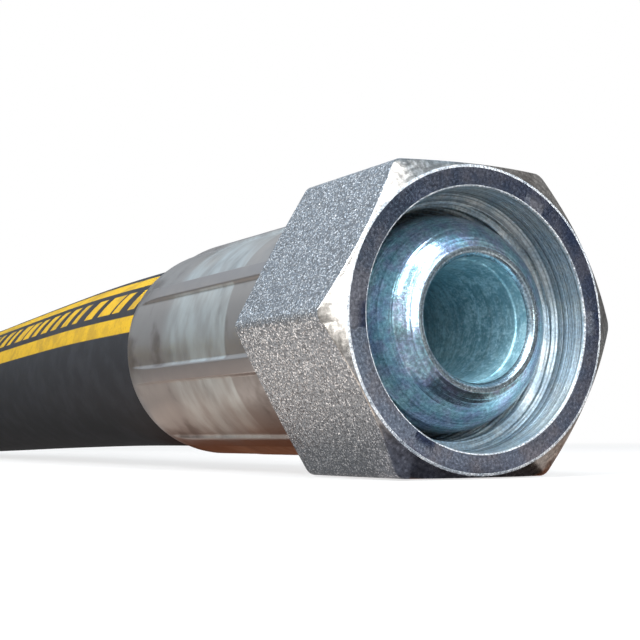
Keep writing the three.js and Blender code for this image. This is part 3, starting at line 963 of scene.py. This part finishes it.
@dataclass
class HoseLayer:
    """One tube of the hose's wall, swept along the centreline."""

    layer: Layer
    name: str
    slot: str
    inner: float                       # mm
    outer: float                       # mm
    start: float = 0.0                 # mm from the hose's ends inside the ferrules
    sides: int = 48
    step: float = 4.0                  # mm

    def skin(self, bm: bmesh.types.BMesh, stations: list[tuple[Matrix, float]], radius: float) -> None:
        """Adds a grid, writes its UV map, and wraps it round the stations.

        Args:
            bm: the mesh to add to.
            stations: a placing matrix and the length so far, both in metres, for each ring.
            radius: the skin's radius in metres.
        """
        uv = bm.loops.layers.uv["along_hose"]
        rings = len(stations) - 1
        made = bmesh.ops.create_grid(bm, x_segments=rings, y_segments=self.sides, size=0.5)["verts"]
        for loop in {loop for vert in made for loop in vert.link_loops}:
            length = stations[round((loop.vert.co.x + 0.5) * rings)][1]
            loop[uv].uv = (loop.vert.co.y + 0.5, length)
        for vert in made:
            matrix = stations[round((vert.co.x + 0.5) * rings)][0]
            angle = (vert.co.y + 0.5) * TURN
            vert.co = matrix @ Vector((radius * math.cos(angle), radius * math.sin(angle), 0.0))

    def build(self, path: list[Vector]) -> bpy.types.Object:
        """The layer's piece, with turns and metres as its UV map.

        Args:
            path: close points on the whole centreline, in metres.

        Returns:
            The piece.
        """
        stations = ring_places(path, self.start * MM, self.step * MM)
        bm = bmesh.new()
        bm.loops.layers.uv.new("along_hose")
        self.skin(bm, stations, self.outer * MM)
        self.skin(bm, stations, self.inner * MM)
        bmesh.ops.remove_doubles(bm, verts=bm.verts, dist=1e-6)
        rims = [edge for edge in bm.edges if len(edge.link_faces) == 1]
        near_rim = [edge for edge in rims if edge.verts[0].co.y > FAR_FACE.y / 2]
        far_rim = [edge for edge in rims if edge.verts[0].co.y < FAR_FACE.y / 2]
        bmesh.ops.bridge_loops(bm, edges=near_rim)
        bmesh.ops.bridge_loops(bm, edges=far_rim)
        bmesh.ops.recalc_face_normals(bm, faces=bm.faces)
        return add_piece(self.name, to_mesh(bm, self.name))


def smooth_path(points: Sequence[Vector], per_span: int) -> list[Vector]:
    """Catmull-Rom curve through points.

    Args:
        points: the points to pass through.
        per_span: steps between one point and the next.

    Returns:
        Close points on the curve.
    """
    padded = [points[0] * 2 - points[1], *points, points[-1] * 2 - points[-2]]
    path = []
    for a, b, c, d in zip(padded, padded[1:], padded[2:], padded[3:]):
        for i in range(per_span):
            t = i / per_span
            path.append(0.5 * (2 * b + (c - a) * t + (2 * a - 5 * b + 4 * c - d) * t ** 2
                               + (3 * b - a - 3 * c + d) * t ** 3))
    return [*path, Vector(points[-1])]


def ring_places(path: list[Vector], start: float, step: float) -> list[tuple[Matrix, float]]:
    """Places for a tube's rings along a path, square to it and upright.

    Args:
        path: close points in metres.
        start: length left out at both ends, in metres.
        step: about how far apart the rings are, in metres.

    Returns:
        A placing matrix, with its Z along the hose towards the near nut, and the length so far.
    """
    lengths = [0.0]
    for a, b in zip(path, path[1:]):
        lengths.append(lengths[-1] + (b - a).length)
    wanted = run(start, lengths[-1] - start, step)
    places = []
    i = 0
    for length in wanted:
        while i < len(path) - 2 and lengths[i + 1] < length:
            i += 1
        share = (length - lengths[i]) / (lengths[i + 1] - lengths[i])
        ahead = (path[max(i - 1, 0)] - path[min(i + 2, len(path) - 1)]).normalized()
        side = Vector((0, 0, 1)).cross(ahead).normalized()
        up = ahead.cross(side)
        turned = Matrix((side, up, ahead)).transposed().to_4x4()
        places.append((Matrix.Translation(path[i].lerp(path[i + 1], share)) @ turned, length))
    return places


@dataclass
class Hose:
    """Rubber hose with two wire braids, which lies in a hairpin between its fittings."""

    insertion: float = FERRULE_REAR - HOSE_END
    length: float = 0.765              # metres of free hose

    def layers(self) -> list[HoseLayer]:
        """The five layers, from the cover inwards."""
        cut = -self.insertion - (COVER_SEAT - SEAT_GAP)
        return [
            HoseLayer(Layer.COVER, "wrapped_rubber_cover", "cover_rubber", 13.6, HOSE_RADIUS,
                      start=cut, sides=96, step=2.0),
            HoseLayer(Layer.OUTER_BRAID, "outer_wire_braid", "braid_wire", 12.8, 13.4),
            HoseLayer(Layer.BETWEEN_BRAIDS, "rubber_between_braids", "tube_rubber", 12.2, 12.6),
            HoseLayer(Layer.INNER_BRAID, "inner_wire_braid", "braid_wire", 11.4, 12.0),
            HoseLayer(Layer.TUBE, "nitrile_oil_tube", "tube_rubber", 9.5, 11.2),
        ]

    def build(self) -> dict[Layer, bpy.types.Object]:
        """The pieces of the hose's wall, dressed, riding and standing for their nodes."""
        free = [Vector(point) for point in ROUTE]
        inset = Vector((-self.insertion * MM, 0, 0))
        whole = [free[0] + inset, free[0] + inset / 2, *free, free[-1] + inset / 2, free[-1] + inset]
        path = smooth_path(whole, per_span=24)
        braid = BraidedWire().dress("brassed_wire_braid")
        rubber = TubeRubber().dress("extruded_nitrile_rubber")
        finishes = {
            Layer.COVER: CoverRubber().dress("cloth_wrapped_cover_rubber"),
            Layer.OUTER_BRAID: braid, Layer.INNER_BRAID: braid,
            Layer.BETWEEN_BRAIDS: rubber, Layer.TUBE: rubber,
        }
        pieces = {}
        for layer in self.layers():
            piece = layer.build(path)
            piece.data.materials.append(finishes[layer.layer])
            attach(piece, "hose_body")
            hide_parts(layer.layer.value)
            pieces[layer.layer] = piece
            log.info("%s: %d faces", piece.name, len(piece.data.polygons))
        return pieces


# ---- Fittings --------------------------------------------------------------------------------


@dataclass
class Fitting:
    """The nut, stem and ferrule of one end."""

    end: str
    face: Vector

    def build(self, blanks: dict[str, bpy.types.Mesh]) -> list[bpy.types.Object]:
        """The three pieces, dressed, riding and standing for their nodes.

        Args:
            blanks: the mesh of each kind of piece, in mm about the fitting's axis.

        Returns:
            The nut, the stem and the ferrule.
        """
        plan = (
            ("nut", "hexagon_nut", "swivel_nut", SwivelNut(), "blasted_zinc_nut", f"{self.end}_nut"),
            ("stem", "nose_and_tail", "stem", BallNoseStem(), "bright_zinc_stem", "hose_body"),
            ("ferrule", "crimped_sleeve", "ferrule", CrimpedFerrule(), "zinc_ferrule", "hose_body"),
        )
        pieces = []
        for kind, name, node, maker, slot, body in plan:
            piece = place_at(blanks[kind], f"{self.end}_{name}", self.face)
            for material in maker.finishes(self.end, self.face):
                piece.data.materials.append(material)
            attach(piece, body)
            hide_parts(f"{self.end}_{node}")
            pieces.append(piece)
            log.info("%s: %d faces", piece.name, len(piece.data.polygons))
        return pieces


# ---- Studio ----------------------------------------------------------------------------------


@dataclass
class Studio:
    """Camera, floor, white surround, lamps and reflecting cards."""

    camera_place: Vector = Vector((0.13431, -0.09104, 0.0049))
    yaw: float = 29.59                 # degrees from -X towards +Y
    pitch: float = 4.92
    roll: float = -0.30
    lens: float = 75.2                 # mm on a sensor 36 mm wide
    subject: Vector = Vector((-0.01, 0.0, 0.018))
    middle: Vector = Vector((-0.17, -0.14, 0.0))
    ground: str = "#8f8781"            # of the floor, in the light that it throws back on the part
    floor_height: float = -0.0002      # a hair under the part, so that the two don't touch

    def camera(self) -> None:
        """The camera at the photograph's place and angle."""
        data = bpy.data.cameras.new("photograph_view")
        data.lens = self.lens
        data.sensor_width = 36.0
        data.sensor_fit = "HORIZONTAL"
        data.clip_start = 0.005
        yaw, pitch, roll = (math.radians(angle) for angle in (self.yaw, self.pitch, self.roll))
        level = math.cos(pitch)
        ahead = Vector((-math.cos(yaw) * level, math.sin(yaw) * level, math.sin(pitch)))
        right = ahead.cross(Vector((0, 0, 1))).normalized()
        up = right.cross(ahead)
        right, up = (right * math.cos(roll) + up * math.sin(roll),
                     up * math.cos(roll) - right * math.sin(roll))
        turned = Matrix((right, up, -ahead)).transposed().to_4x4()
        camera = bpy.data.objects.new("photograph_view", data)
        camera.matrix_world = Matrix.Translation(self.camera_place) @ turned
        bpy.context.scene.collection.objects.link(camera)
        bpy.context.scene.camera = camera

    def plain_rays(self, tree: bpy.types.NodeTree) -> bpy.types.NodeSocket:
        """1 for camera, glossy and transmission rays, which see the plain white surround."""
        rays = add_node(tree, "LightPath")
        seen = add_node(tree, "Math", {"operation": "MAXIMUM"}, {
            0: rays.outputs["Is Camera Ray"], 1: rays.outputs["Is Glossy Ray"]})
        return add_node(tree, "Math", {"operation": "MAXIMUM"}, {
            0: seen.outputs[0], 1: rays.outputs["Is Transmission Ray"]}).outputs[0]

    def surround(self, sky: str = "#c9d6e2", level: float = 0.55) -> None:
        """A world that is plain white to look at, and a soft pale sky as light."""
        world = bpy.data.worlds.new("white_surround")
        bpy.context.scene.world = world
        world.use_nodes = True
        tree = world.node_tree
        tree.nodes.clear()
        white = add_node(tree, "Background", {}, {"Color": (1, 1, 1, 1), "Strength": 1.0})
        light = add_node(tree, "Background", {}, {"Color": linear(sky), "Strength": level})
        mixed = add_node(tree, "MixShader", {}, {
            0: self.plain_rays(tree), 1: light.outputs[0], 2: white.outputs[0]})
        add_node(tree, "OutputWorld", {}, {"Surface": mixed.outputs[0]})

    def floor(self, size: float = 8.0, near: float = 0.3, far: float = 0.7, kept: float = 0.28) -> None:
        """A pale floor just under the part, which keeps a light shadow near it and is plain white beyond.

        Args:
            size: its side in metres.
            near: how far from the hairpin's middle the shadow is whole, in metres.
            far: where the last of the shadow is gone.
            kept: share of the shadow that is kept.
        """
        bm = bmesh.new()
        bmesh.ops.create_grid(bm, x_segments=1, y_segments=1, size=size / 2,
                              matrix=Matrix.Translation((0, 0, self.floor_height)))
        mesh = bpy.data.meshes.new("pale_floor")
        bm.to_mesh(mesh)
        bm.free()
        floor = bpy.data.objects.new("pale_floor", mesh)
        bpy.context.scene.collection.objects.link(floor)
        material, tree = new_tree("painted_pale_floor")
        rays = add_node(tree, "LightPath")
        ground = add_node(tree, "Mix", COLOURS, {
            0: rays.outputs["Is Diffuse Ray"], 6: linear("#f2f2f2"), 7: linear(self.ground)})
        matte = add_node(tree, "BsdfDiffuse", {}, {"Color": ground.outputs[2]})
        white = add_node(tree, "Emission", {}, {"Color": (1, 1, 1, 1), "Strength": 1.0})
        source = add_node(tree, "TexCoord")
        away = add_node(tree, "VectorMath", {"operation": "DISTANCE"}, {
            0: source.outputs["Object"], 1: self.middle})
        plain = add_node(tree, "MapRange", SMOOTH, {
            "Value": away.outputs["Value"], "From Min": near, "From Max": far,
            "To Min": 1 - kept, "To Max": 1.0})
        share = add_node(tree, "Math", {"operation": "MULTIPLY"}, {
            0: self.plain_rays(tree), 1: plain.outputs[0]})
        mixed = add_node(tree, "MixShader", {}, {
            0: share.outputs[0], 1: matte.outputs[0], 2: white.outputs[0]})
        add_node(tree, "OutputMaterial", {}, {"Surface": mixed.outputs[0]})
        mesh.materials.append(material)

    def lamp(self, name: str, place: Triple, size: Pair, watts: float, mirrored: bool = True) -> None:
        """A soft white lamp that looks at the near fitting.

        Args:
            name: the lamp's name.
            place: its place, in metres.
            size: its width and height, in metres.
            watts: its power.
            mirrored: whether reflections show it.
        """
        data = bpy.data.lights.new(name, "AREA")
        data.shape = "RECTANGLE"
        data.size, data.size_y = size
        data.energy = watts
        lamp = bpy.data.objects.new(name, data)
        lamp.matrix_world = self.facing(Vector(place))
        lamp.visible_camera = False
        lamp.visible_glossy = mirrored
        bpy.context.scene.collection.objects.link(lamp)

    def facing(self, place: Vector) -> Matrix:
        """A matrix at a place whose -Z looks at the near fitting."""
        turn = (self.subject - place).to_track_quat("-Z", "Y")
        return Matrix.Translation(place) @ turn.to_matrix().to_4x4()

    def card(self, name: str, place: Triple, size: Pair, colours: tuple[str, str, str, str],
             flat: bool = False, level: float = 1.0) -> None:
        """A card that only reflections see.

        Args:
            name: the card's name.
            place: its middle, in metres.
            size: its width and height, in metres.
            colours: colours of its corners: low left, low right, high left and high right, where an
                upright card faces the part and is seen from behind, and a flat one is seen from above.
            flat: whether it lies level instead of facing the near fitting.
            level: how bright it shines.
        """
        bm = bmesh.new()
        bmesh.ops.create_grid(bm, x_segments=1, y_segments=1, size=0.5)
        tint = bm.loops.layers.float_color.new("tint")
        for face in bm.faces:
            for loop in face.loops:
                loop[tint] = linear(colours[(loop.vert.co.x > 0) + 2 * (loop.vert.co.y > 0)])
        bmesh.ops.scale(bm, vec=(*size, 1.0), verts=bm.verts)
        matrix = Matrix.Translation(place) if flat else self.facing(Vector(place))
        bmesh.ops.transform(bm, matrix=matrix, verts=bm.verts)
        mesh = bpy.data.meshes.new(name)
        bm.to_mesh(mesh)
        bm.free()
        card = bpy.data.objects.new(name, mesh)
        bpy.context.scene.collection.objects.link(card)
        material, tree = new_tree(name)
        painted = add_node(tree, "Attribute", {"attribute_name": "tint"})
        glow = add_node(tree, "Emission", {}, {"Color": painted.outputs["Color"], "Strength": level})
        add_node(tree, "OutputMaterial", {}, {"Surface": glow.outputs[0]})
        mesh.materials.append(material)
        card.visible_camera = False
        card.visible_diffuse = False
        card.visible_shadow = False
        card.visible_transmission = False

    def lamps(self) -> None:
        """The softboxes round the part."""
        self.lamp("key_softbox", (0.12, -0.42, 0.40), (0.30, 0.30), 3.2)
        self.lamp("overhead_softbox", (0.20, -0.10, 0.46), (0.24, 0.11), 1.3)
        self.lamp("front_softbox", (0.45, -0.10, 0.35), (0.20, 0.25), 0.7)
        self.lamp("window_softbox", (0.31, -0.16, 0.06), (0.08, 0.24), 0.6)
        self.lamp("side_softbox", (0.19, 0.29, 0.08), (0.15, 0.15), 1.4, mirrored=False)

    def room_cards(self) -> None:
        """The sky and the walls that the metal mirrors."""
        self.card("sky_card", (-0.1, -0.15, 0.9), (1.8, 1.8), ("#9db4c9",) * 4, level=1.8)
        self.card("back_room_card", (-0.75, -0.35, 0.13), (1.0, 0.36),
                  ("#aeb2b6", "#c4c8cc", "#c6cacf", "#dde2e6"))
        self.card("far_room_card", (-0.8, 0.25, 0.21), (0.6, 0.31), ("#4f5355",) * 4)
        self.card("shaded_wall_card", (0.553, 0.659, 0.10), (0.41, 0.50),
                  ("#2c3448", "#2c3448", "#2c3d60", "#2c3d60"))
        self.card("pale_wall_card", (0.766, 0.39, 0.215), (0.36, 0.25), ("#464e52",) * 4)
        self.card("bright_ledge_card", (0.776, 0.37, 0.045), (0.38, 0.09), ("#c4c1b6",) * 4, level=1.6)
        self.card("side_room_card", (0.05, 0.64, 0.36), (1.2, 0.8),
                  ("#7a7d80", "#7a7d80", "#b4b2b4", "#b4b2b4"))

    def ground_cards(self) -> None:
        """The ground that the metal mirrors, in cards that lie over one another, some with the part's
        shadow and shade painted on.
        """
        lowest, low, top = -0.00018, -0.00016, -0.0001
        self.card("wide_ground_card", (0.25, 0.15, lowest), (1.7, 1.4),
                  ("#b8b4b0", "#dcd8d0", "#77736e", "#3a4358"), flat=True, level=1.2)
        self.card("front_ground_card", (0.06, 0.0, low), (0.11, 0.10),
                  ("#cfd0d8", "#cfd0d8", "#cbb6a8", "#b8b0a8"), flat=True)
        self.card("warm_ground_card", (-0.0135, -0.041, top), (0.063, 0.042),
                  ("#efece9", "#dcd8d4", "#efe4da", "#e6d6ca"), flat=True, level=2.3)
        self.card("pale_ground_card", (-0.0825, -0.041, top), (0.075, 0.042),
                  ("#f4e8de", "#c4b4a8", "#fff0e6", "#b09c90"), flat=True, level=1.1)
        # painted shade on the ground beside the ferrule: pale further back along the hose, warm brown
        # nearer the nut
        self.card("warm_painted_shade_card", (-0.05, -0.0145, top), (0.06, 0.011),
                  ("#ffeadc", "#7c5642", "#ffeadc", "#7c5642"), flat=True)
        # painted shadow with a warm bounce on the ground under the ferrule
        self.card("brown_painted_shadow_card", (-0.0325, 0.008, top), (0.085, 0.034), ("#7d4a30",) * 4, flat=True)
        self.card("shaded_ground_card", (0.0175, 0.00075, top), (0.016, 0.0195),
                  ("#3c4254", "#363a48", "#2c221e", "#4a382e"), flat=True)
        self.card("bluish_ground_card", (0.0135, -0.0125, top), (0.008, 0.007),
                  ("#788098",) * 4, flat=True)
        self.card("side_ground_card", (-0.04, 0.10, top), (0.20, 0.12), ("#8c8680",) * 4, flat=True)

    def build(self) -> None:
        """Sets up everything round the part."""
        self.camera()
        self.surround()
        self.floor()
        self.lamps()
        self.room_cards()
        self.ground_cards()
        bpy.context.scene.view_settings.view_transform = "Standard"


def main() -> None:
    """Loads the frame, and builds the assembly and its studio."""
    logging.basicConfig(level=logging.INFO)
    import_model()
    studio = Studio()
    studio.build()
    hose = Hose()
    layers = hose.build()
    blanks = {
        "nut": SwivelNut().build(), "stem": BallNoseStem().build(), "ferrule": CrimpedFerrule().build(),
    }
    Fitting("near", NEAR_FACE).build(blanks)
    far = Fitting("far", FAR_FACE).build(blanks)


if __name__ == "__main__":
    main()
